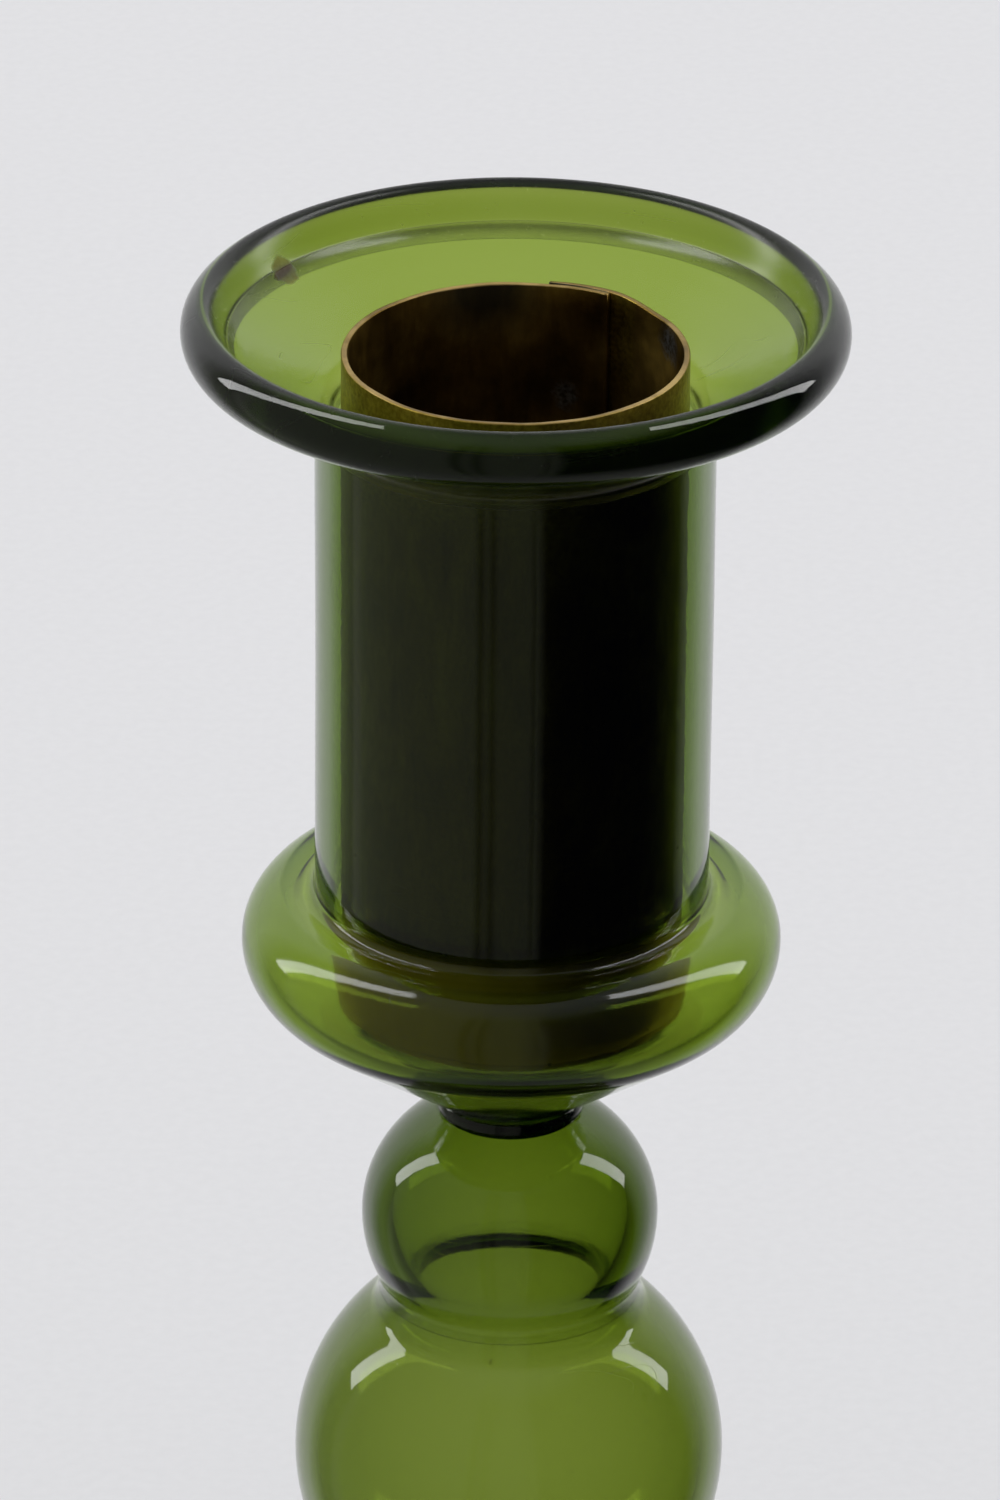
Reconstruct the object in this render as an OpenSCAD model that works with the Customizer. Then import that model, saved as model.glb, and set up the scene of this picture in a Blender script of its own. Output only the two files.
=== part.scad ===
// Glass candlestick with a loose brass candle sleeve.
// The glass is worked hot in sections that meet face to face: a flared drip pan with a rolled
// rim, a straight candle tube, a hollow collar bowl, two blown knops and a bell foot, with a
// solid glass wafer on either side of the knops. The sleeve is rolled from sheet brass, lapped
// and soldered along one seam, and closed by a disc at the bottom. It stands on the bowl's floor.
// The frame: +Z up, origin at the centre of the circle that the foot stands on, millimetres.

/* [Candle sleeve] */
// Bore of the brass sleeve, which takes the candle's butt
bore_d = 23.1; // [22.5:0.1:23.1]
// Thickness of the brass sheet
sheet_t = 0.45; // [0.3:0.05:0.45]
// Height that the sleeve's edge stands above the pan's throat
sleeve_proud = 4.9; // [3:0.1:6]
// Width of the lapped seam, as an angle around the sleeve
seam_lap = 22; // [12:1:30]
// Place of the seam, as an angle anticlockwise from +X
seam_at = 57; // [0:1:359]

/* [Drip pan] */
// Diameter over the rolled rim
pan_d = 46.2; // [44:0.2:50]
// Height of the rolled rim
rim_h = 4.33; // [3.8:0.1:4.8]
// Fall of the pan from the middle of its rim to its throat
pan_drop = 6.6; // [6.4:0.1:8]

/* [Candle tube] */
// Outer diameter of the tube
tube_d = 27.9; // [27.7:0.1:28.3]
// Thickness of the tube's wall
tube_wall = 1.3; // [1.1:0.05:1.3]
// Length of the tube between the pan and the collar
tube_h = 35.5; // [28:0.1:50]

/* [Collar bowl] */
// Greatest diameter of the collar
collar_d = 38.2; // [37.6:0.2:42]
// Thickness of the bowl's floor, square to its slope
floor_t = 1.7; // [1.4:0.1:2.2]

/* [Knops] */
// Diameter of the upper knop
upper_knop_d = 21.3; // [20.8:0.1:24]
// Diameter of the lower knop
lower_knop_d = 31; // [28:0.2:34]
// Outer diameter of the open neck between the two knops
knop_neck_d = 18.8; // [17:0.2:19.2]
// Thickness of the lower knop's wall
knop_wall = 1.6; // [1.3:0.1:1.7]

/* [Foot] */
// Diameter over the foot's rolled rim
foot_d = 64; // [56:1:72]
// Height of the bell foot up to its wafer
foot_h = 38.4; // [30:0.5:46]

/* [Hidden] */
$fn = 96;

// Wafers: solid discs that join the stem's sections
wafer_h = 1.2;
wafer_edge = 0.35;
upper_wafer_r = 5.3;
lower_wafer_r = 8;

// Lower knop
lower_wafer_z = foot_h;
lower_knop_floor_z = lower_wafer_z + wafer_h;
lower_knop_r = lower_knop_d / 2;
lower_knop_rise = 12.3;
lower_knop_z = lower_knop_floor_z + lower_knop_rise;
lower_knop_floor_t = 2;

// Upper knop: blown thicker than the lower one, and flatter above its middle than below
upper_knop_r = upper_knop_d / 2;
upper_knop_wall = knop_wall + 0.6;
upper_knop_crown_h = upper_knop_r - 1.1;
upper_knop_base_h = upper_knop_r - 0.25;
upper_knop_crown_t = 2.2;

// Neck between the knops, with a fillet above and below its waist
neck_r = knop_neck_d / 2;
neck_in_r = neck_r - 1.8;
neck_half_h = 1.05;
fillet_reach = 0.8;
neck_z = lower_knop_z + height_at(lower_knop_r, lower_knop_r, neck_r) + neck_half_h;
upper_knop_z = neck_z + neck_half_h + height_at(upper_knop_r, upper_knop_base_h, neck_r);
upper_wafer_z = upper_knop_z + height_at(upper_knop_r, upper_knop_crown_h, upper_wafer_r);

// Collar: an equator between a low crown and a sloping bowl floor
collar_r = collar_d / 2;
collar_wall = 1.3;
equator_w = 5.4;
equator_drop = 5.1;
crown_w = 4.7;
crown_h = 4.3;
floor_slope = 35.3;
flank_angle = atan(equator_drop / equator_w / tan(floor_slope));
flank_r = collar_r - equator_w * (1 - cos(flank_angle));
collar_bottom_z = upper_wafer_z + wafer_h;
collar_bottom_t = 1.9;
floor_foot_r = 6;
floor_foot_z = collar_bottom_z + 0.7;
floor_rise = (flank_r - floor_foot_r) * tan(floor_slope);
equator_z = floor_foot_z + floor_rise + equator_drop * sin(flank_angle);

// Tube: it meets the collar at the top of the fillet inside the crown
tube_r = tube_d / 2;
tube_in_r = tube_r - tube_wall;
fillet_top_h = 4.6;
tube_z = equator_z + fillet_top_h;
throat_z = tube_z + tube_h;
throat_joint = 0.6;

// Pan: the rim's roll is a round that gives way to a crest, and the rim is joined to the pan
// halfway down the rim's inner wall
roll_r = rim_h / 2;
rim_r = pan_d / 2 - roll_r;
rim_z = throat_z + pan_drop;
roll_end = 50;
crest = [rim_r + 0.64, rim_z + 0.94 * roll_r];
rim_joint = [rim_r - 1.08, rim_z - 0.48];
rim_joint_low = [rim_r - 0.64, rim_z - 2.47];
pan_edge = [rim_r - 2.6, rim_z - 1.65];
throat_w = 2;
throat_h = 1.9;
throat_fillet = 1.2;

// Sleeve: the edge of its base disc stands just clear of the bowl's sloping floor
bore_r = bore_d / 2;
sleeve_r = bore_r + sheet_t;
solder_t = 0.06;
ramp_angle = 24;
seat_gap = 0.15;
seat_z = floor_at(sleeve_r);
disc_z = seat_z + seat_gap;
disc_t = 0.6;
sleeve_z = disc_z + disc_t;
sleeve_h = throat_z + sleeve_proud - sleeve_z;

// Foot: a rolled rim that is ground flat, and a bell that is thick at its crown
foot_rim_r = 2.2;
foot_rim_z = 2;
foot_edge_r = foot_d / 2 - foot_rim_r;
foot_joint = [foot_edge_r - 1.2, foot_rim_z + 1.5];
foot_joint_in = [foot_joint[0] - 0.6, foot_joint[1] - 1.7];
foot_crown_r = lower_wafer_r - 3.2;
foot_crown_t = 3.6;
foot_dome_z = foot_h * 0.85;

// A length that carries a cut through a face, so that no skin is left
through = 1;

// Height above the middle of an ellipse (half-width rr, half-height rz) at which it reaches radius r
function height_at(rr, rz, r) = rz * sqrt(1 - pow(r / rr, 2));

// Height of the bowl floor's upper face at radius r
function floor_at(r) = floor_foot_z + (r - floor_foot_r) * tan(floor_slope) + floor_t / cos(floor_slope);

// Points of an elliptical arc about (cr, cz), from angle a to angle b
function arc(cr, cz, rr, rz, a, b, n) =
    [for (i = [0 : n]) let (t = a + (b - a) * i / n) [cr + rr * cos(t), cz + rz * sin(t)]];

// Points of a cubic curve from p to s, pulled towards q and r
function curve(p, q, r, s, n) =
    [for (i = [0 : n]) let (t = i / n, u = 1 - t)
        u * u * u * p + 3 * u * u * t * q + 3 * u * t * t * r + t * t * t * s];

// Angle at which an ellipse of half-width rr reaches radius r
function reach(rr, r) = acos(r / rr);

// Point at radius radius and angle a in the plane of the sheet
function polar(radius, a) = [radius * cos(a), radius * sin(a)];

module glass(tone) color(tone, 0.7) rotate_extrude() children();

// Rolled rim of the pan: round outside, with a crest from which the inner wall swings down
module rim_wrap() {
    end = [rim_r + roll_r * cos(roll_end), rim_z + roll_r * sin(roll_end)];
    glass("darkslategray")
        polygon(concat(
            [rim_joint_low],
            arc(rim_r, rim_z, roll_r, roll_r, -72, roll_end - 5, 16),
            curve(end, end + [-0.23, 0.19], crest + [0.3, 0], crest, 4),
            [for (p = curve(crest, crest - [0.83, 0], rim_joint + [0.5, 0.66], rim_joint, 10))
                if (p != crest) p]));
}

// Flared pan: a sloping floor that hollows towards the rim, and a rounded throat
module drip_pan() {
    joint_z = throat_z - throat_joint;
    glass("yellowgreen")
        polygon(concat(
            [rim_joint_low, rim_joint, [rim_r - 1.55, rim_z - 0.92], pan_edge],
            arc(tube_in_r + throat_w, throat_z + 0.4, throat_w, throat_h, 65, 180, 8),
            [[tube_in_r, joint_z], [tube_r, joint_z]],
            arc(tube_r + throat_fillet, throat_z - 0.4, throat_fillet, 1.1, 180, 125, 5)));
}

// Straight tube between the pan and the collar
module candle_tube() {
    color("olivedrab", 0.7)
        translate([0, 0, tube_z])
            difference() {
                cylinder(h = tube_h - throat_joint, r = tube_r);
                translate([0, 0, -through])
                    cylinder(h = tube_h + 2 * through, r = tube_in_r);
            }
}

// Hollow collar with the bowl floor that the sleeve stands on
module collar_bowl() {
    equator_r = collar_r - equator_w;
    crown_r = collar_r - crown_w;
    in_flank_r = flank_r - collar_wall - 1;
    pit_r = upper_wafer_r + 0.3;
    glass("olivedrab")
        polygon(concat(
            [[0, collar_bottom_z], [upper_wafer_r, collar_bottom_z], [floor_foot_r, floor_foot_z]],
            arc(equator_r, equator_z, equator_w, equator_drop, -flank_angle, 0, 9),
            arc(crown_r, equator_z, crown_w, crown_h, 5, 68, 9),
            curve([tube_r + 1.5, tube_z - 0.65], [tube_r + 0.6, tube_z - 0.75],
                [tube_r, tube_z - 0.5], [tube_r, tube_z], 6),
            [[tube_in_r, tube_z], [tube_in_r + 0.2, tube_z - 1.6]],
            arc(crown_r, equator_z, crown_w - collar_wall, crown_h - collar_wall - 0.2, 80, 5, 8),
            arc(equator_r, equator_z, equator_w - collar_wall, equator_drop - collar_wall,
                0, -flank_angle, 7),
            [[in_flank_r, floor_at(in_flank_r)], [pit_r, floor_at(pit_r)]],
            [[pit_r - 1.4, floor_at(pit_r) - 0.4], [0, collar_bottom_z + collar_bottom_t]]));
}

// Solid disc of glass between two sections of the stem
module wafer(radius, z) {
    color("darkolivegreen", 0.8)
        translate([0, 0, z])
            rotate_extrude()
                polygon(concat(
                    [[0, 0]],
                    arc(radius - wafer_edge, wafer_h / 2, wafer_edge, wafer_h / 2, -90, 90, 8),
                    [[0, wafer_h]]));
}

module upper_wafer() wafer(upper_wafer_r, upper_wafer_z);

module lower_wafer() wafer(lower_wafer_r, lower_wafer_z);

// Fillet from a point on a knop's wall to the waist of the neck
function to_waist(p, radius) =
    let (half = (neck_z - p[1]) / 2) curve(p, [radius + 0.25, p[1] + half], [radius, neck_z - half],
        [radius, neck_z], 5);

// Small blown knop: closed above, open below through the neck
module upper_knop() {
    in_r = upper_knop_r - upper_knop_wall;
    in_h = upper_knop_base_h - upper_knop_wall;
    start_r = neck_r + fillet_reach / 4;
    in_start_r = neck_in_r + fillet_reach / 4;
    fillet = to_waist([start_r, upper_knop_z - height_at(upper_knop_r, upper_knop_base_h, start_r)],
        neck_r);
    in_fillet = to_waist([in_start_r, upper_knop_z - height_at(in_r, in_h, in_start_r)], neck_in_r);
    glass("darkolivegreen")
        polygon(concat(
            [[0, upper_wafer_z]],
            arc(0, upper_knop_z, upper_knop_r, upper_knop_crown_h,
                reach(upper_knop_r, upper_wafer_r), 0, 12),
            arc(0, upper_knop_z, upper_knop_r, upper_knop_base_h,
                -3, -reach(upper_knop_r, start_r) + 1, 8),
            fillet,
            [for (i = [len(in_fillet) - 1 : -1 : 0]) in_fillet[i]],
            arc(0, upper_knop_z, in_r, in_h, -reach(in_r, in_start_r) + 2, 0, 6),
            arc(0, upper_knop_z, in_r, upper_knop_crown_h - upper_knop_crown_t, 5, 90, 12)));
}

// Large blown knop: open above through the neck, with a thick floor
module lower_knop() {
    in_r = lower_knop_r - knop_wall;
    start_r = neck_r + fillet_reach;
    in_start_r = neck_in_r + fillet_reach;
    base_angle = asin(lower_knop_rise / lower_knop_r);
    floor_angle = asin((lower_knop_rise - lower_knop_floor_t) / in_r);
    fillet = to_waist([start_r, lower_knop_z + height_at(lower_knop_r, lower_knop_r, start_r)], neck_r);
    in_fillet = to_waist([in_start_r, lower_knop_z + height_at(in_r, in_r, in_start_r)], neck_in_r);
    glass("darkolivegreen")
        polygon(concat(
            [[0, lower_knop_floor_z]],
            arc(0, lower_knop_z, lower_knop_r, lower_knop_r,
                -base_angle, reach(lower_knop_r, start_r) - 1, 22),
            fillet,
            [for (i = [len(in_fillet) - 1 : -1 : 0]) in_fillet[i]],
            arc(0, lower_knop_z, in_r, in_r, reach(in_r, in_start_r) - 2, -floor_angle, 20),
            [[0, lower_knop_floor_z + lower_knop_floor_t]]));
}

// Trumpet-shaped bell foot, hollow and open below
module bell_foot() {
    glass("olivedrab")
        polygon(concat(
            [[0, foot_h]],
            curve([lower_wafer_r - 0.6, foot_h], [lower_wafer_r - 0.4, foot_h * 0.62],
                [foot_d * 0.26, foot_h * 0.34], foot_joint, 20),
            curve(foot_joint_in, [foot_d * 0.25, foot_h * 0.25],
                [lower_wafer_r - 1, foot_h * 0.62], [foot_crown_r, foot_dome_z], 18),
            arc(0, foot_dome_z, foot_crown_r, foot_h - foot_crown_t - foot_dome_z, 15, 90, 5)));
}

// Rolled rim of the foot, ground flat where it stands
module foot_rim() {
    flat_half = sqrt(foot_rim_r * foot_rim_r - foot_rim_z * foot_rim_z);
    flat_angle = acos(flat_half / foot_rim_r);
    glass("darkslategray")
        polygon(concat(
            arc(foot_edge_r, foot_rim_z, foot_rim_r, foot_rim_r, -flat_angle, 124, 16),
            [foot_joint, foot_joint_in],
            [[foot_edge_r - foot_rim_r + 0.15, foot_rim_z - 0.8], [foot_edge_r - flat_half, 0]]));
}

// Sector of a flat ring between two angles
module ring_sector(in_r, out_r, a, b) {
    far = 2 * out_r;
    intersection() {
        difference() {
            circle(r = out_r);
            circle(r = in_r);
        }
        polygon([[0, 0], polar(far, a), polar(far, (a + b) / 2), polar(far, b)]);
    }
}

// Part of the sheet that climbs over its own other end. It runs a little way into the parts on
// either side, and is thinner than they are by twice the inset, so that all three make one sheet.
module sheet_ramp(a, b, in_start, in_end) {
    steps = 12;
    inset = 0.04;
    rise = [for (i = [0 : steps]) let (s = i / steps) (in_end - in_start) * s * s * (3 - 2 * s)];
    angle = [for (i = [0 : steps]) a + (b - a) * i / steps];
    inner = [for (i = [0 : steps]) polar(in_start + inset + rise[i], angle[i])];
    outer = [for (i = [steps : -1 : 0]) polar(in_start + sheet_t - inset + rise[i], angle[i])];
    polygon(concat(inner, outer));
}

// Rolled sheet: one end lies outside the other over the seam's width
module candle_sleeve() {
    lap_r = sleeve_r + solder_t;
    grip = 2;
    far = 2 * sleeve_r;
    color("goldenrod")
        translate([0, 0, sleeve_z])
            union() {
                difference() {
                    cylinder(h = sleeve_h, r = sleeve_r);
                    translate([0, 0, -through])
                        cylinder(h = sleeve_h + 2 * through, r = bore_r);
                    translate([0, 0, -through])
                        linear_extrude(sleeve_h + 2 * through)
                            polygon([[0, 0], polar(far, seam_at - ramp_angle), polar(far, seam_at)]);
                }
                linear_extrude(sleeve_h)
                    sheet_ramp(seam_at - ramp_angle - grip, seam_at + grip, bore_r, lap_r);
                linear_extrude(sleeve_h)
                    ring_sector(lap_r, lap_r + sheet_t, seam_at, seam_at + seam_lap);
            }
}

// Film of soft solder between the two ends of the sheet
module seam_solder() {
    color("silver")
        translate([0, 0, sleeve_z])
            linear_extrude(sleeve_h)
                ring_sector(sleeve_r, sleeve_r + solder_t, seam_at + 1, seam_at + seam_lap);
}

// Brass disc soldered to the sleeve's lower edge
module sleeve_base() {
    color("goldenrod")
        translate([0, 0, disc_z])
            cylinder(h = disc_t, r = sleeve_r);
}

rim_wrap();
drip_pan();
candle_tube();
collar_bowl();
upper_wafer();
upper_knop();
lower_knop();
lower_wafer();
bell_foot();
foot_rim();
candle_sleeve();
seam_solder();
sleeve_base();
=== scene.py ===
import math

import bpy
from mathutils import Matrix, Vector, noise


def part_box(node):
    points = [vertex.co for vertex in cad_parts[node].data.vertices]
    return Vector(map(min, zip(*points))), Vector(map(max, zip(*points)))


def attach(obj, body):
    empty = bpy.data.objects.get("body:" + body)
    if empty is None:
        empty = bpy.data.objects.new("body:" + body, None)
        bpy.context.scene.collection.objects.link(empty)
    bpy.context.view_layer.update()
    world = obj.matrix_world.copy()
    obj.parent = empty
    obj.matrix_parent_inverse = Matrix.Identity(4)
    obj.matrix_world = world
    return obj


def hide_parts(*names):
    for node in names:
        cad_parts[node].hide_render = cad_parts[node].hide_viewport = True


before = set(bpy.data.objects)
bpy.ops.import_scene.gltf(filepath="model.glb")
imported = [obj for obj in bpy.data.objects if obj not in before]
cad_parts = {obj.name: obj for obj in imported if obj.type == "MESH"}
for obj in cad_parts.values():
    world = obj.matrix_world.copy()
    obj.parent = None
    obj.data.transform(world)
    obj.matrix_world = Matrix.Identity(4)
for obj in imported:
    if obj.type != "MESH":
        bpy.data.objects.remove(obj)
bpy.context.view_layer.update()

# Lengths below are in millimetres, and heights are above the table. Meshes are written in metres.
MM = 0.001
TURN = 2 * math.pi
GLASS_SIDES = 256
SLEEVE_SIDES = 288
CREASE = 35  # corners sharper than this many degrees aren't smoothed over
JOINT_OVERLAP = 0.04  # neighbouring glass sections run this far into each other


def span(node):
    """Lowest and highest height and greatest radius of a CAD node, in mm."""
    low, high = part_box(node)
    return low.z / MM, high.z / MM, high.x / MM


# ---------------------------------------------------------------- sizes taken from the CAD

ROLL = 2.165  # radius of the rim's roll
TUBE_WALL = 1.3
THROAT = 7.2  # from the tube's top up to the middle of the rim's roll
FOOT_ROLL = 2.2  # radius of the foot's rolled rim
SHEET = 0.45  # thickness of the brass
_, rim_top, rim_out = span("rim_wrap")
rim_mid = rim_out - ROLL
tube_low, tube_top, tube_r = span("candle_tube")
bowl_low, _, collar_r = span("collar_bowl")
knop_low, knop_top, knop_r = span("upper_knop")
base_low, base_top, base_r = span("lower_knop")
_, foot_top, _ = span("bell_foot")
_, _, edge_r = span("foot_rim")
sleeve_low, sleeve_top, sleeve_r = span("candle_sleeve")
bore_r = sleeve_r - SHEET

tube_in = tube_r - TUBE_WALL
rim_z = tube_top + THROAT
# where the cut between two glass sections meets their surfaces
RIM_JOINT = (rim_mid - 1.08, rim_z - 0.48)
RIM_JOINT_LOW = (rim_mid - 0.64, rim_z - 2.47)
FOOT_JOINT = (edge_r - FOOT_ROLL - 1.2, 3.5)


# ---------------------------------------------------------------- outlines

def arc(cr, cz, rr, rz, a, b, n):
    """Points of an elliptical arc about (cr, cz) from angle a to angle b, in degrees."""
    angles = [math.radians(a + (b - a) * i / n) for i in range(n + 1)]
    return [(cr + rr * math.cos(t), cz + rz * math.sin(t)) for t in angles]


def spline(points, n):
    """A smooth curve through the points, with n steps between two of them."""
    ends = [points[0]] + list(points) + [points[-1]]
    out = []
    for p0, p1, p2, p3 in zip(ends, ends[1:], ends[2:], ends[3:]):
        for i in range(n):
            t = i / n
            out.append(tuple(
                0.5 * (2 * b + (c - a) * t + (2 * a - 5 * b + 4 * c - d) * t * t
                       + (3 * b - a - 3 * c + d) * t ** 3)
                for a, b, c, d in zip(p0, p1, p2, p3)))
    out.append(tuple(points[-1]))
    return out


def rounded(points, radii, n):
    """A chain of straight lines whose corners are rounded by the given radii."""
    out = [points[0]]
    for i in range(1, len(points) - 1):
        a, p, b = Vector(points[i - 1]), Vector(points[i]), Vector(points[i + 1])
        to_a, to_b = (a - p).normalized(), (b - p).normalized()
        reach = min(radii[i - 1], (a - p).length * 0.48, (b - p).length * 0.48)
        start, end = p + to_a * reach, p + to_b * reach
        for k in range(n + 1):
            t = k / n
            q = start * (1 - t) ** 2 + p * 2 * t * (1 - t) + end * t * t
            out.append((q.x, q.y))
    out.append(points[-1])
    return out


def fine(points, step):
    """The same chain of points with none further apart than step."""
    out = [points[0]]
    for a, b in zip(points, points[1:]):
        n = max(1, math.ceil(math.dist(a, b) / step))
        out += [(a[0] + (b[0] - a[0]) * i / n, a[1] + (b[1] - a[1]) * i / n)
                for i in range(1, n + 1)]
    return out


def bezier(p0, p1, p2, p3, n):
    """A cubic curve from p0 to p3 that leaves towards p1 and arrives from p2."""
    out = []
    for i in range(n + 1):
        t = i / n
        u = 1 - t
        out.append(tuple(u ** 3 * a + 3 * u * u * t * b + 3 * u * t * t * c + t ** 3 * d
                         for a, b, c, d in zip(p0, p1, p2, p3)))
    return out


def bridge(below, above, n):
    """A fillet that carries on one chain of points smoothly into another."""
    p0, p3 = Vector(below[-1]), Vector(above[0])
    handle = (p3 - p0).length / 3
    p1 = p0 + (p0 - Vector(below[-2])).normalized() * handle
    p2 = p3 - (Vector(above[1]) - p3).normalized() * handle
    return bezier(p0, p1, p2, p3, n)[1:-1]


def cut(chain, low, high):
    """The part of a rising chain of points between two heights."""
    out = []
    for (r0, z0), (r1, z1) in zip(chain, chain[1:]):
        if z1 <= low or z0 >= high or z1 <= z0:
            continue
        heights = [min(z1, high)] if out else [max(z0, low), min(z1, high)]
        out += [(r0 + (r1 - r0) * (z - z0) / (z1 - z0), z) for z in heights]
    return out


def wall_angle(radius, rr):
    """Angle at which an ellipse of half-width rr reaches a radius, in degrees."""
    return math.degrees(math.acos(radius / rr))


# ---------------------------------------------------------------- meshes

def hand(radius, angle, z):
    """Radius after the slight unevenness of hand-worked glass. It only ever pulls inwards."""
    lean = 0.05 * math.sin((z - 71) * 0.085)
    pull = 0.06 + lean * math.cos(angle) + 0.02 * math.sin(angle + z * 0.045 + 0.6)
    pull += 0.018 * (1 + math.sin(2 * angle - z * 0.07 + 2.1))
    pull += 0.008 * (1 + math.sin(3 * angle + z * 0.31))
    return radius - pull * min(1, radius / 8)


def link(name, verts, faces, material):
    """A smooth-shaded mesh object from points in mm."""
    mesh = bpy.data.meshes.new(name)
    mesh.from_pydata([tuple(c * MM for c in v) for v in verts], [], faces)
    mesh.validate()
    mesh.polygons.foreach_set("use_smooth", [True] * len(mesh.polygons))
    mesh.materials.append(material)
    piece = bpy.data.objects.new(name, mesh)
    bpy.context.scene.collection.objects.link(piece)
    return piece


def lathe(name, outline, material):
    """A solid turned from a closed outline of (radius, height) points."""
    sides = GLASS_SIDES
    # the outline goes anticlockwise, seen with the axis on the left
    area = sum(a[0] * b[1] - b[0] * a[1] for a, b in zip(outline, outline[1:] + outline[:1]))
    if area < 0:
        outline = outline[::-1]
    count = len(outline)
    verts, rings = [], []
    for r, z in outline:
        if r < 1e-6:
            rings.append([len(verts)])
            verts.append((0, 0, z))
            continue
        rings.append(list(range(len(verts), len(verts) + sides)))
        for i in range(sides):
            angle = TURN * i / sides
            radius = hand(r, angle, z)
            verts.append((radius * math.cos(angle), radius * math.sin(angle), z))
    faces = []
    for k in range(count):
        a, b = rings[k], rings[(k + 1) % count]
        if len(a) == 1 and len(b) == 1:
            continue
        for i in range(sides):
            j = (i + 1) % sides
            if len(a) == 1:
                faces.append((a[0], b[j], b[i]))
            elif len(b) == 1:
                faces.append((a[i], a[j], b[0]))
            else:
                faces.append((a[i], a[j], b[j], b[i]))
    piece = link(name, verts, faces, material)
    limit = math.cos(math.radians(CREASE))
    creases = set()
    for k in range(count):
        before = Vector(outline[k]) - Vector(outline[k - 1])
        after = Vector(outline[(k + 1) % count]) - Vector(outline[k])
        if len(rings[k]) > 1 and before.normalized().dot(after.normalized()) < limit:
            creases.update((rings[k][i], rings[k][(i + 1) % sides]) for i in range(sides))
    flags = [tuple(e.vertices) in creases or tuple(reversed(e.vertices)) in creases
             for e in piece.data.edges]
    sharp = piece.data.attributes.new("sharp_edge", "BOOLEAN", "EDGE")
    sharp.data.foreach_set("value", flags)
    return piece


def stand_for(piece, node, body):
    """The piece rides on a body and is shown in place of a CAD node."""
    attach(piece, body)
    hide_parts(node)
    return piece


# ---------------------------------------------------------------- materials

def new_material(name):
    """A material with its node tree and its Principled shader."""
    material = bpy.data.materials.new(name)
    material.use_nodes = True
    tree = material.node_tree
    return material, tree, tree.nodes["Principled BSDF"]


def add(tree, kind, inputs=None, **settings):
    """A node with its settings and its inputs: a value is set, a socket is linked."""
    node = tree.nodes.new(kind)
    for key, value in settings.items():
        setattr(node, key, value)
    for key, value in (inputs or {}).items():
        if isinstance(value, bpy.types.NodeSocket):
            tree.links.new(value, node.inputs[key])
        else:
            node.inputs[key].default_value = value
    return node


def noise_of(tree, where, scale, detail, roughness=0.5, distortion=0.0):
    """Noise with scale in cycles to the metre."""
    return add(tree, "ShaderNodeTexNoise",
               {"Vector": where, "Scale": scale, "Detail": detail, "Roughness": roughness,
                "Distortion": distortion}).outputs["Fac"]


def stretched(tree, where, scale):
    """Coordinates scaled along each axis: a factor under 1 draws a pattern out along it."""
    return add(tree, "ShaderNodeMapping", {"Vector": where, "Scale": scale}).outputs["Vector"]


def ranged(tree, value, low, high, to_low, to_high):
    """A value mapped from low..high to to_low..to_high, and held at the ends."""
    return add(tree, "ShaderNodeMapRange", {"Value": value, "From Min": low, "From Max": high,
                                            "To Min": to_low, "To Max": to_high}).outputs["Result"]


def ramp(tree, value, stops):
    """A colour read off a row of (place, colour) stops."""
    node = add(tree, "ShaderNodeValToRGB", {"Fac": value})
    elements = node.color_ramp.elements
    while len(elements) < len(stops):
        elements.new(0.5)
    for element, (place, colour) in zip(elements, stops):
        element.position = place
        element.color = (*colour, 1)
    return node.outputs["Color"]


def math_of(tree, operation, *values):
    """The result of a math node: each value is a number or a socket."""
    return add(tree, "ShaderNodeMath", dict(enumerate(values)), operation=operation).outputs[0]


def blend(tree, factor, a, b):
    """Colour a turning into colour b as factor goes from 0 to 1."""
    return add(tree, "ShaderNodeMix", {"Factor": factor, "A": a, "B": b},
               data_type="RGBA").outputs["Result"]


def from_axis(tree, x, y):
    """Distance from the candlestick's axis, in metres."""
    squares = math_of(tree, "MULTIPLY_ADD", y, y, math_of(tree, "MULTIPLY", x, x))
    return math_of(tree, "SQRT", squares)


def patch(tree, where, centre, radius, ragged, soft=0.1):
    """A mask that is 1 within an uneven patch round a point and fades over soft, all in mm."""
    centre = tuple(c * MM for c in centre)
    away = add(tree, "ShaderNodeVectorMath", {0: where, 1: centre}, operation="DISTANCE")
    frayed = noise_of(tree, where, 1400 / (1 + soft), 3)
    edge = math_of(tree, "MULTIPLY_ADD", frayed, ragged * MM, away.outputs["Value"])
    limit = (radius + ragged / 2) * MM
    return ranged(tree, edge, limit + soft * MM, limit - soft * MM, 0, 1)


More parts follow.
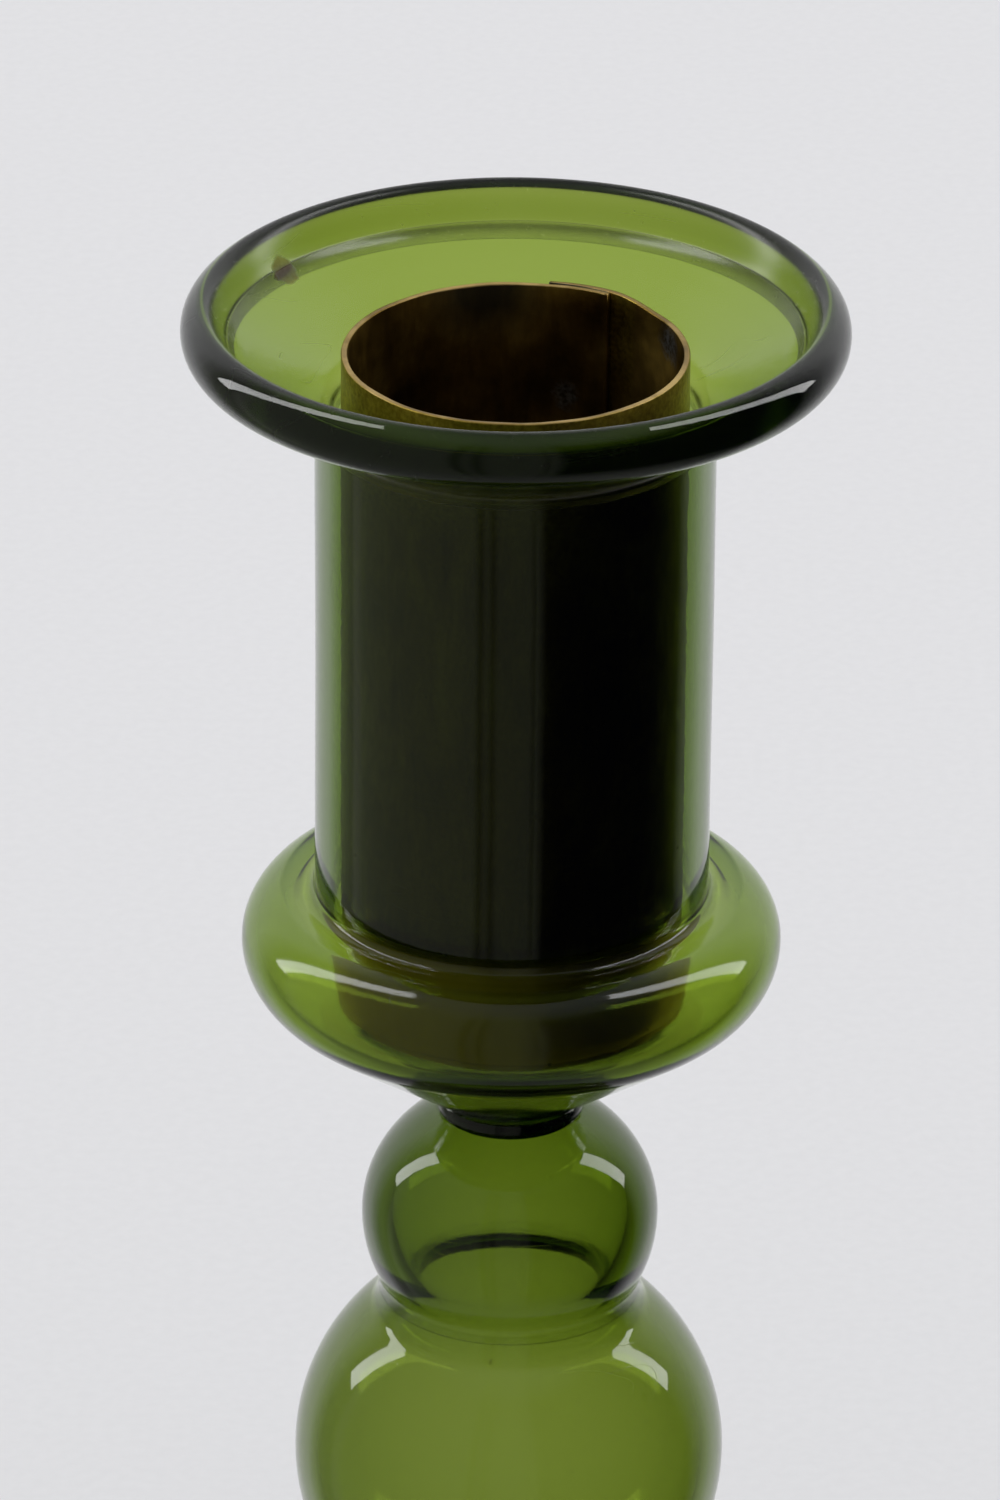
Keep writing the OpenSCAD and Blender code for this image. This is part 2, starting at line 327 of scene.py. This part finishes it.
def glass(name, per_mm, haze=0.0, worn_inside=None, lined=0.0, stain=None, hairline=0.003):
    """Clear green glass: the colour comes from the length of the path through it. per_mm is
    how much red, green and blue it takes up in a millimetre, and haze is its least roughness.
    worn_inside is a radius and the roughness added within it, where wax and knives have dulled
    the glass. lined is the depth of the fine lines that run round it, stain is the place of a
    burnt spot, and hairline sets how wide the scratches are."""
    material, tree, shader = new_material(name)
    shader.inputs["Base Color"].default_value = (1, 1, 1, 1)
    shader.inputs["Transmission Weight"].default_value = 1
    shader.inputs["IOR"].default_value = 1.52
    where = add(tree, "ShaderNodeTexCoord").outputs["Object"]
    x, y, z = add(tree, "ShaderNodeSeparateXYZ", {"Vector": where}).outputs
    out = from_axis(tree, x, y)
    slow = noise_of(tree, stretched(tree, where, (1, 1, 0.35)), 160, 2)
    quick = noise_of(tree, where, 480, 2)
    height = math_of(tree, "ADD", slow, quick)
    if lined:
        level = math_of(tree, "MULTIPLY_ADD", out, 0.7, z)
        swirl = add(tree, "ShaderNodeCombineXYZ", {
            "X": math_of(tree, "MULTIPLY", x, 0.03), "Y": math_of(tree, "MULTIPLY", y, 0.03),
            "Z": level})
        lines = noise_of(tree, swirl.outputs["Vector"], 3600, 3, 0.6)
        height = math_of(tree, "MULTIPLY_ADD", lines, lined, height)
    dust = noise_of(tree, where, 1800, 4, 0.65)
    rough = ranged(tree, dust, 0.45, 0.75, haze, haze + 0.03)
    if worn_inside:
        radius, wear = worn_inside
        inside = ranged(tree, out, (radius + 0.3) * MM, (radius - 0.3) * MM, 0, wear)
        rough = math_of(tree, "ADD", inside, rough)
    # specks of soot and bubbles, and the burnt spot
    cells = add(tree, "ShaderNodeTexVoronoi", {"Vector": where, "Scale": 420.0, "Randomness": 1.0})
    speck_size = ranged(tree, noise_of(tree, where, 210, 2), 0.52, 0.6, 0, 0.055)
    speck = math_of(tree, "LESS_THAN", cells.outputs["Distance"], speck_size)
    tone = blend(tree, speck, (1, 1, 1, 1), (0.45, 0.42, 0.3, 1))
    if stain:
        spot = patch(tree, where, stain, 1.0, 0.9)
        burnt = ramp(tree, noise_of(tree, where, 2200, 3), [(0.35, (0.86, 0.55, 0.4)),
                                                            (0.65, (0.62, 0.33, 0.16))])
        tone = blend(tree, spot, tone, burnt)
        rough = math_of(tree, "MULTIPLY_ADD", spot, 0.35, rough)
    # hairline scratches, mostly level
    path = noise_of(tree, stretched(tree, where, (0.3, 0.8, 3.5)), 130, 0)
    near = math_of(tree, "ABSOLUTE", math_of(tree, "SUBTRACT", path, 0.5))
    handled = ranged(tree, noise_of(tree, where, 95, 3, 0.7), 0.5, 0.62, 0, 0.2)
    scratch = math_of(tree, "MULTIPLY", ranged(tree, near, 0.0, hairline, 1, 0), handled)
    rough = math_of(tree, "ADD", scratch, rough)
    height = math_of(tree, "SUBTRACT", height, scratch)
    bump = add(tree, "ShaderNodeBump", {"Strength": 0.4, "Distance": 0.00002, "Height": height})
    tree.links.new(bump.outputs["Normal"], shader.inputs["Normal"])
    tree.links.new(tone, shader.inputs["Base Color"])
    tree.links.new(rough, shader.inputs["Roughness"])
    density = 1.25 * max(per_mm)
    tint = [1 - part / density for part in per_mm]
    volume = add(tree, "ShaderNodeVolumeAbsorption", {"Color": (*tint, 1), "Density": density / MM})
    tree.links.new(volume.outputs["Volume"], tree.nodes["Material Output"].inputs["Volume"])
    return material


def brass(name):
    """Old rolled brass: brown patina and soot stains inside, duller gold outside and a bright
    top edge, partly rubbed by candles and partly a painted highlight."""
    material, tree, shader = new_material(name)
    where = add(tree, "ShaderNodeTexCoord").outputs["Object"]
    x, y, z = add(tree, "ShaderNodeSeparateXYZ", {"Vector": where}).outputs
    out = from_axis(tree, x, y)
    streaks = noise_of(tree, stretched(tree, where, (1, 1, 0.3)), 520, 5, 0.6, 0.4)
    blotch = noise_of(tree, where, 150, 4, 0.6)
    grain = noise_of(tree, where, 2600, 3, 0.6)
    mixed = math_of(tree, "MULTIPLY", streaks, blotch)
    colour = ramp(tree, mixed, [(0.12, (0.11, 0.065, 0.014)), (0.24, (0.2, 0.12, 0.022)),
                                (0.36, (0.31, 0.2, 0.04)), (0.55, (0.46, 0.33, 0.09))])
    # inside: a gold patch beside the seam, soot under the top edge and grey tarnish spots
    within = ranged(tree, out, (bore_r + 0.15) * MM, (bore_r + 0.05) * MM, 0, 1)
    gold = patch(tree, where, (8.6, 7.1, sleeve_top - 4.5), 3.4, 2.4, 1.4)
    gold = math_of(tree, "MULTIPLY", gold, blotch)
    colour = blend(tree, gold, colour, (0.9, 0.62, 0.14, 1))
    soot = patch(tree, where, (-2.2, 10.9, sleeve_top), 3.4, 2.0, 1.6)
    soot = math_of(tree, "MULTIPLY", soot, 0.8)
    colour = blend(tree, soot, colour, (0.03, 0.035, 0.03, 1))
    deep_spot = patch(tree, where, (3.4, 10.6, sleeve_top - 8.3), 1.0, 1.6, 0.3)
    right_spot = patch(tree, where, (10.3, 4.2, sleeve_top - 1.4), 1.2, 1.6, 0.5)
    spots = math_of(tree, "MULTIPLY", math_of(tree, "MAXIMUM", deep_spot, right_spot), within)
    bloom = ramp(tree, grain, [(0.4, (0.09, 0.09, 0.08)), (0.62, (0.4, 0.43, 0.46))])
    colour = blend(tree, math_of(tree, "MULTIPLY", spots, 0.7), colour, bloom)
    # outside above the throat is rubbed bright; the edge itself is partly rubbed bright and partly
    # a painted highlight
    top = ranged(tree, z, (sleeve_top - 9) * MM, (sleeve_top - 5) * MM, 0, 0.75)
    outside = ranged(tree, out, (sleeve_r - 0.2) * MM, (sleeve_r - 0.1) * MM, 0, 1)
    colour = blend(tree, math_of(tree, "MULTIPLY", top, outside), colour,
                   ramp(tree, grain, [(0.35, (0.26, 0.18, 0.02)), (0.65, (0.5, 0.37, 0.05))]))
    # the lower end, shut away in the collar, has kept its colour
    kept = ranged(tree, z, (sleeve_low + 10) * MM, (sleeve_low + 7) * MM, 0, 0.6)
    colour = blend(tree, kept, colour, (0.75, 0.5, 0.09, 1))
    # painted highlight: a band of lighter gold all round the top edge, which also stands for rubbed
    # brass
    edge = ranged(tree, math_of(tree, "MULTIPLY_ADD", blotch, 0.0003, z),
                  (sleeve_top + 0.02) * MM, (sleeve_top + 0.1) * MM, 0, 1)
    colour = blend(tree, edge, colour, ramp(tree, blotch, [(0.4, (0.36, 0.24, 0.08)),
                                                           (0.62, (0.68, 0.5, 0.2))]))
    tree.links.new(colour, shader.inputs["Base Color"])
    shader.inputs["Metallic"].default_value = 1
    rough = math_of(tree, "MULTIPLY_ADD", soot, 0.2, ranged(tree, blotch, 0.3, 0.7, 0.28, 0.55))
    tree.links.new(rough, shader.inputs["Roughness"])
    height = math_of(tree, "ADD", streaks, grain)
    bump = add(tree, "ShaderNodeBump", {"Strength": 0.35, "Distance": 0.00004, "Height": height})
    tree.links.new(bump.outputs["Normal"], shader.inputs["Normal"])
    return material


def solder(name):
    """Dull grey solder, tarnished along the seam."""
    material, tree, shader = new_material(name)
    where = add(tree, "ShaderNodeTexCoord").outputs["Object"]
    spots = noise_of(tree, where, 900, 4)
    colour = ramp(tree, spots, [(0.3, (0.05, 0.045, 0.04)), (0.7, (0.22, 0.21, 0.19))])
    tree.links.new(colour, shader.inputs["Base Color"])
    shader.inputs["Metallic"].default_value = 1
    tree.links.new(ranged(tree, spots, 0.3, 0.7, 0.4, 0.65), shader.inputs["Roughness"])
    return material


BURNT = (-16.16, 11.1, rim_z - 0.7)  # the brown spot where the rim's wall meets the pan
GREEN = glass("green_glass", (0.48, 0.37, 1.15), haze=0.03)
PAN_GREEN = glass("pan_glass", (0.55, 0.385, 1.42), haze=0.17, stain=BURNT)
RIM_GREEN = glass("rim_glass", (0.47, 0.36, 1.14), haze=0.02, worn_inside=(21.4, 0.23),
                  lined=0.35, stain=BURNT)
TUBE_GREEN = glass("tube_glass", (0.66, 0.49, 1.35), hairline=0.014)
BOWL_GREEN = glass("bowl_glass", (0.48, 0.35, 1.18), haze=0.07)
KNOP_GREEN = glass("knop_glass", (0.485, 0.385, 1.03), haze=0.04)
BRASS = brass("aged_brass")
SOLDER = solder("soft_solder")


# ---------------------------------------------------------------- glass sections

def make_rim():
    """The rolled rim: round outside, a crest, then an inner wall that swings down into the pan."""
    roll = arc(rim_mid, rim_z, ROLL, ROLL, -60, 50, 28)
    end, crest = roll[-1], (rim_mid + 0.64, rim_top)
    over = bezier(end, (end[0] - 0.23, end[1] + 0.19), (crest[0] + 0.3, crest[1]), crest, 8)
    wall = bezier(crest, (crest[0] - 0.83, crest[1]), (RIM_JOINT[0] + 0.5, RIM_JOINT[1] + 0.66),
                  RIM_JOINT, 26)
    low = spline([RIM_JOINT_LOW, (rim_mid + 0.07, rim_z - 2.2), roll[0]], 6)
    joint = [(r - JOINT_OVERLAP, z) for r, z in (RIM_JOINT, RIM_JOINT_LOW)]
    return lathe("rim_wrap_glass", low + roll[1:] + over[1:] + wall[1:-1] + joint, RIM_GREEN)


def make_pan():
    """The pan: a floor that hollows towards the rim, and a rounded throat into the tube."""
    joint = (tube_in, tube_top - JOINT_OVERLAP)
    top = spline([RIM_JOINT, (rim_mid - 1.54, rim_z - 0.92), (rim_mid - 2.04, rim_z - 1.29),
                  (rim_mid - 2.64, rim_z - 1.66), (rim_mid - 3.74, rim_z - 2.36),
                  (rim_mid - 5.54, rim_z - 3.47), (tube_in + 1.5, rim_z - 4.32),
                  (tube_in + 0.55, rim_z - 5.14), (tube_in + 0.08, rim_z - 6.2), joint], 6)
    under = rounded([(tube_r, joint[1]), (tube_r, rim_z - 6.35), RIM_JOINT_LOW], [2.2], 10)
    return lathe("drip_pan_glass", fine(top, 0.8) + fine(under, 0.8), PAN_GREEN)


def make_tube():
    """The straight tube round the sleeve."""
    outer = fine([(tube_r, tube_low), (tube_r, tube_top)], 2.5)
    inner = fine([(tube_in, tube_top), (tube_in, tube_low)], 2.5)
    return lathe("candle_tube_glass", outer + inner, TUBE_GREEN)


def make_bowl():
    """The ring collar and the cone under it. The floor is thicker where the sleeve stands."""
    slope = math.radians(35.3)
    cone_low = bowl_low + 0.7
    wall, thin, thick = 1.3, 1.25, 1.7
    belly_w, belly_h = 5.4, 5.1  # half-axes of the ring below its equator, then above it
    crown_w, crown_h = 4.7, 4.3
    equator = tube_low - 4.6
    belly_r, crown_r = collar_r - belly_w, collar_r - crown_w
    flank = math.degrees(math.atan(belly_h / belly_w / math.tan(slope)))
    joint = tube_low + JOINT_OVERLAP
    # outside: from the wafer up the cone, round the equator, over the crown and into the crease
    side = arc(belly_r, equator, belly_w, belly_h, -flank, 0, 18)
    under = rounded([(5.2, bowl_low), (5.36, bowl_low + 0.25), (6.0, cone_low), side[0]],
                    [0.3, 1.0], 5)
    over = arc(crown_r, equator, crown_w, crown_h, 4, 66, 24)
    flat = spline([over[-1], (tube_r + 1.5, tube_low - 0.65), (tube_r + 0.9, tube_low - 0.7)], 5)
    fillet = bezier(flat[-1], (tube_r + 0.35, tube_low - 0.74), (tube_r, tube_low - 0.5),
                    (tube_r, tube_low), 10)
    crease = flat + fillet[1:] + [(tube_r, joint)]
    # inside: down from the tube, round the hollow and along the floor, which thickens inwards
    # from the sleeve's seat
    in_over = arc(crown_r, equator, crown_w - wall, crown_h - wall - 0.2, 82, 4, 20)
    lip = spline([(tube_in, joint), (tube_in + 0.03, tube_low - 1.0),
                  (tube_in + 0.3, tube_low - 1.5), (tube_in + 1.0, tube_low - 1.78),
                  in_over[0]], 5)
    in_side = arc(belly_r, equator, belly_w - wall, belly_h - wall, 0, -flank, 16)
    floor_end = side[0][0] - wall - 1

    def on_floor(radius, thickness):
        """The point at a radius on the inner face of a floor that follows the cone."""
        up = cone_low + thickness / math.cos(slope)
        return radius, up + (radius - 6.0) * math.tan(slope)

    seat_end, seat_height = on_floor(sleeve_r + 0.6, thin)
    in_floor = rounded([in_side[-1], on_floor(floor_end, thin), (seat_end, seat_height + 0.1),
                        on_floor(sleeve_r - 1.4, thick), on_floor(5.2, thick),
                        (3.6, bowl_low + 2.1), (0, bowl_low + 1.9)],
                       [0.7, 0.8, 0.8, 1.6, 1.6], 6)
    outline = ([(0, bowl_low)] + fine(under + side[1:] + over + crease[1:], 0.7)
               + fine(lip + in_over[1:] + in_side[1:] + in_floor[1:], 0.7))
    return lathe("collar_bowl_glass", outline, BOWL_GREEN)


def make_wafer(name, node):
    """A solid disc with a rounded edge, pressed between two sections."""
    edge = 0.35
    low, high, radius = span(node)
    mid = (low + high) / 2
    half = (high - low) / 2 + JOINT_OVERLAP
    side = arc(radius - edge, mid, edge, half, -90, 90, 14)
    return lathe(name, fine([(0, mid - half)] + side + [(0, mid + half)], 0.8), GREEN)


KNOP_MID = 71.2  # height of the upper knop's middle
BASE_MID = 51.9  # height of the lower knop's middle
CROWN_IN = 7.35  # from the upper knop's middle up to the top of its hollow


def knop_walls(knop, knop_crown, knop_base, base, base_half, waist):
    """One wall through both knops, rising from the base: ball, fillet round the waist, ball."""
    base_end = wall_angle(waist + 0.8, base)
    knop_start = wall_angle(waist + 0.24, knop)
    low = arc(0, BASE_MID, base, base_half, -88, base_end, 70)
    high = (arc(0, KNOP_MID, knop, knop_base, -knop_start, 0, 24)
            + arc(0, KNOP_MID, knop, knop_crown, 0, 89, 40)[1:])
    return low + bridge(low, high, 14) + high


STEM_OUTSIDE = knop_walls(knop=knop_r, knop_crown=9.55, knop_base=10.4,
                          base=base_r, base_half=base_r, waist=9.4)
STEM_INSIDE = knop_walls(knop=knop_r - 2.2, knop_crown=CROWN_IN, knop_base=8.2,
                         base=base_r - 1.6, base_half=base_r - 1.6, waist=7.6)


def make_upper_knop():
    """The small ball: closed above, open below."""
    outer = cut(STEM_OUTSIDE, knop_low, knop_top)
    crown = KNOP_MID + CROWN_IN
    inner = cut(STEM_INSIDE, knop_low, crown - 0.001)
    axis = [(0, knop_top), (0, crown)]
    return lathe("upper_knop_glass", outer + axis + inner[::-1], KNOP_GREEN)


def make_lower_knop():
    """The large ball: open above, with a floor 2 mm thick."""
    neck = base_top + JOINT_OVERLAP
    floor = base_low + 2
    outer = [(0, base_low)] + cut(STEM_OUTSIDE, base_low, neck)
    inner = [(0, floor)] + cut(STEM_INSIDE, floor, neck)
    return lathe("lower_knop_glass", outer + inner[::-1], KNOP_GREEN)


def make_foot():
    """The trumpet foot: solid under the wafer, then hollow and thinner towards its rim."""
    outer = spline([(7.6, foot_top), (7.7, foot_top * 0.84), (9.3, foot_top * 0.6),
                    (13.6, foot_top * 0.37), (20.6, foot_top * 0.2), FOOT_JOINT], 10)
    below = (FOOT_JOINT[0] - 0.6, FOOT_JOINT[1] - 1.7)
    inner = spline([below, (19.6, foot_top * 0.155), (12.3, foot_top * 0.32),
                    (7.7, foot_top * 0.55), (5.2, foot_top * 0.78), (3.4, foot_top * 0.88),
                    (0, foot_top * 0.9)], 8)
    return lathe("bell_foot_glass", [(0, foot_top)] + outer + inner, GREEN)


def make_foot_rim():
    """The foot's rolled rim, ground flat where it stands."""
    join = (FOOT_JOINT[0] - JOINT_OVERLAP, FOOT_JOINT[1])
    centre = 2.0
    flat = math.degrees(math.asin(centre / FOOT_ROLL))
    roll = arc(edge_r - FOOT_ROLL, centre, FOOT_ROLL, FOOT_ROLL, -flat, 124, 30)
    under = [join, (join[0] - 0.6, join[1] - 1.7), (edge_r - 2 * FOOT_ROLL + 0.25, 1.1),
             (edge_r - FOOT_ROLL - 0.92, 0)]
    return lathe("foot_rim_glass", roll + under, RIM_GREEN)


stand_for(make_rim(), "rim_wrap", "glass_body")
stand_for(make_pan(), "drip_pan", "glass_body")
stand_for(make_tube(), "candle_tube", "glass_body")
stand_for(make_bowl(), "collar_bowl", "glass_body")
stand_for(make_wafer("upper_wafer_glass", "upper_wafer"),
          "upper_wafer", "glass_body")
stand_for(make_upper_knop(), "upper_knop", "glass_body")
stand_for(make_lower_knop(), "lower_knop", "glass_body")
stand_for(make_wafer("lower_wafer_glass", "lower_wafer"),
          "lower_wafer", "glass_body")
stand_for(make_foot(), "bell_foot", "glass_body")
stand_for(make_foot_rim(), "foot_rim", "glass_body")

# ---------------------------------------------------------------- brass sleeve

SEAM = 57  # where the sheet starts, in degrees
LAP = 22  # how far it runs over its own start, in degrees
RAMP = 24  # the turn over which it climbs on to its own start, in degrees
SOLDER_FILM = 0.06


def sheet_radius(turn):
    """Inner radius of the sheet, turn degrees on from the end that lies inside the lap."""
    climb = min(1, max(0, (turn - 360 + RAMP) / RAMP))
    return bore_r + (SHEET + SOLDER_FILM) * climb * climb * (3 - 2 * climb)


def sheet_section():
    """Section of the sheet: (distance from the inner face, height, 1 near the top edge)."""
    bevel = 0.09
    corner = bevel * 0.3
    z0, z1 = sleeve_low, sleeve_top
    rows = 30
    up = [z0 + bevel + (z1 - z0 - 2 * bevel) * i / rows for i in range(rows + 1)]
    section = [(bevel, z0, 0), (SHEET - bevel, z0, 0), (SHEET - corner, z0 + corner, 0)]
    section += [(SHEET, z, 1 if z > z1 - 1 else 0) for z in up]
    section += [(SHEET - corner, z1 - corner, 1), (SHEET - bevel, z1, 1),
                (bevel, z1, 1), (corner, z1 - corner, 1)]
    section += [(0, z, 1 if z > z1 - 1 else 0) for z in reversed(up)]
    section += [(corner, z0 + corner, 0)]
    return section


def make_sleeve():
    """The sheet as one strip, wound from the seam all the way round and over its own start.
    Its top edge is worn a little uneven."""
    section = sheet_section()
    verts, faces = [], []
    for i in range(SLEEVE_SIDES + 1):
        turn = (360 + LAP) * i / SLEEVE_SIDES
        angle = math.radians(SEAM + turn)
        wear = noise.noise(Vector((math.cos(angle) * 3, math.sin(angle) * 3, 7)))
        for u, z, near_top in section:
            r = sheet_radius(turn) + u
            rise = near_top * 0.1 * (wear - 0.5)
            verts.append((r * math.cos(angle), r * math.sin(angle), z + rise))
    n = len(section)
    for i in range(SLEEVE_SIDES):
        for k in range(n):
            a, b = i * n + k, i * n + (k + 1) % n
            faces.append((a, b, b + n, a + n))
    faces.append(tuple(range(n))[::-1])
    faces.append(tuple(SLEEVE_SIDES * n + k for k in range(n)))
    return link("candle_sleeve_sheet", verts, faces, BRASS)


stand_for(make_sleeve(), "candle_sleeve", "sleeve")
for node, material in (("sleeve_base", BRASS), ("seam_solder", SOLDER)):
    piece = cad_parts[node]
    piece.data.materials.clear()
    piece.data.materials.append(material)


# ---------------------------------------------------------------- stage, light and camera

def make_floor():
    """Pale paper under the foot. Neither mirrored nor refracted rays meet it."""
    mesh = bpy.data.meshes.new("floor")
    far = 4.0
    mesh.from_pydata([(-far, -far, 0), (far, -far, 0), (far, far, 0), (-far, far, 0)], [],
                     [(0, 1, 2, 3)])
    floor = bpy.data.objects.new("floor", mesh)
    floor.location.z = -0.1 * MM
    bpy.context.scene.collection.objects.link(floor)
    material, tree, shader = new_material("pale_paper")
    where = add(tree, "ShaderNodeTexCoord").outputs["Object"]
    paper = noise_of(tree, where, 900, 3)
    tree.links.new(ramp(tree, paper, [(0.3, (0.79, 0.79, 0.80)), (0.7, (0.81, 0.81, 0.82))]),
                   shader.inputs["Base Color"])
    shader.inputs["Roughness"].default_value = 0.9
    shader.inputs["Specular IOR Level"].default_value = 0.0
    mesh.materials.append(material)
    floor.visible_glossy = False
    floor.visible_transmission = False


def toward(azimuth, elevation):
    """A direction by its azimuth, to the right from the camera's side, and its elevation."""
    a, e = math.radians(azimuth), math.radians(elevation)
    return Vector((math.sin(a) * math.cos(e), -math.cos(a) * math.cos(e), math.sin(e)))


def make_strip_light(name, low_end, high_end, width, distance, radiance):
    """A strip softbox that faces the object and leans from one direction to another. Its width
    and distance are in metres. Only the glass and the brass see it, not the paper or camera."""
    target = Vector((0, 0, rim_z * MM - 0.03))  # 30 mm below the rim
    middle = (low_end + high_end).normalized()
    along = (high_end - low_end).normalized()
    half = low_end.angle(high_end) / 2
    data = bpy.data.lights.new(name, "AREA")
    data.shape = "RECTANGLE"
    data.size = width
    data.size_y = 2 * distance * math.tan(half)
    data.energy = radiance * math.pi * data.size * data.size_y
    lamp = bpy.data.objects.new(name, data)
    across = along.cross(middle)
    turn = Matrix((across, along, middle)).transposed()
    lamp.matrix_world = Matrix.Translation(target + middle * distance) @ turn.to_4x4()
    lamp.visible_diffuse = False
    lamp.visible_camera = False
    bpy.context.scene.collection.objects.link(lamp)


def make_world():
    """A pale room all round. Rays mirrored by the glass see the unlit studio behind the camera
    instead: a grey wall with a window's bars on the left, and darkness on the right."""
    world = bpy.data.worlds.new("studio")
    bpy.context.scene.world = world
    world.use_nodes = True
    tree = world.node_tree
    tree.nodes.clear()
    way = add(tree, "ShaderNodeTexCoord").outputs["Generated"]
    x, y, z = add(tree, "ShaderNodeSeparateXYZ", {"Vector": way}).outputs
    azimuth = math_of(tree, "ARCTAN2", x, math_of(tree, "MULTIPLY", y, -1.0))
    turn = ranged(tree, azimuth, -math.pi, math.pi, 0, 1)
    pale = (0.765, 0.765, 0.775)
    wall = (0.27, 0.28, 0.24)
    dark = (0.006, 0.006, 0.012)
    # how light the wall is along the turn, with a dip at each bar
    levels = ((0.172, 0.95), (0.2, 0.8), (0.208, 1.3), (0.22, 1.2), (0.228, 0.95), (0.36, 0.78),
              (0.435, 0.7), (0.445, 0.25), (0.455, 0.58), (0.465, 0.25), (0.475, 0.56),
              (0.525, 0.56), (0.53, 0.25), (0.535, 0.56))
    walls = [(place, tuple(part * level for part in wall)) for place, level in levels]
    around = ramp(tree, turn, [(0.125, pale)] + walls + [(0.55, dark), (0.8, dark), (0.885, pale)])
    # its ceiling is grey, and its floor is darker: painted shade for the candlestick's own shadow
    # round its foot
    above = ranged(tree, z, 0.75, 0.95, 0, 1)
    below = ranged(tree, z, -0.7, -0.92, 0, 1)
    room = blend(tree, above, around, (0.25, 0.26, 0.29, 1))
    room = blend(tree, below, room, (0.2, 0.2, 0.2, 1))
    path = add(tree, "ShaderNodeLightPath").outputs
    mirrored = math_of(tree, "GREATER_THAN", path["Glossy Depth"], 0.5)
    shown = blend(tree, mirrored, (*pale, 1), room)
    # the paper is lit a quarter more than the background behind the glass
    strength = math_of(tree, "MULTIPLY_ADD", path["Is Diffuse Ray"], 0.25, 1.0)
    background = add(tree, "ShaderNodeBackground", {"Color": shown, "Strength": strength})
    output = tree.nodes.new("ShaderNodeOutputWorld")
    tree.links.new(background.outputs["Background"], output.inputs["Surface"])


def make_camera():
    """The photographer's view: a long lens 0.73 m from the rim, looking down at 24 degrees."""
    distance = 0.7266
    elevation, pitch, yaw, roll = 0.41953, 0.03973, -0.001215, 0.0070087
    focal, height = 10595, 1500  # focal length and picture height, in pixels of the photo
    sensor = 36.0
    forward = Vector((0, math.cos(elevation), -math.sin(elevation)))
    right = Vector((1, 0, 0))
    up = right.cross(forward)
    place = Vector((0, 0, rim_z * MM)) - forward * distance
    forward, up = (forward * math.cos(pitch) - up * math.sin(pitch),
                   up * math.cos(pitch) + forward * math.sin(pitch))
    forward, right = (forward * math.cos(yaw) + right * math.sin(yaw),
                      right * math.cos(yaw) - forward * math.sin(yaw))
    right, up = (right * math.cos(roll) + up * math.sin(roll),
                 up * math.cos(roll) - right * math.sin(roll))
    data = bpy.data.cameras.new("camera")
    data.sensor_width = sensor
    data.lens = sensor * focal / height
    data.clip_start, data.clip_end = 0.05, 20
    camera = bpy.data.objects.new("camera", data)
    turn = Matrix((right, up, -forward)).transposed()
    camera.matrix_world = Matrix.Translation(place) @ turn.to_4x4()
    bpy.context.scene.collection.objects.link(camera)
    bpy.context.scene.camera = camera


make_floor()
make_world()
make_camera()
make_strip_light("strip_left", toward(-112, 6), toward(-83, 66),
                 width=0.1, distance=0.6, radiance=4.9)
make_strip_light("strip_right", toward(113, 6), toward(83, 65),
                 width=0.1, distance=0.6, radiance=4.4)

scene = bpy.context.scene
scene.view_settings.view_transform = "Standard"
scene.cycles.max_bounces = 32
scene.cycles.transmission_bounces = 32
scene.cycles.glossy_bounces = 16
scene.cycles.sample_clamp_indirect = 6
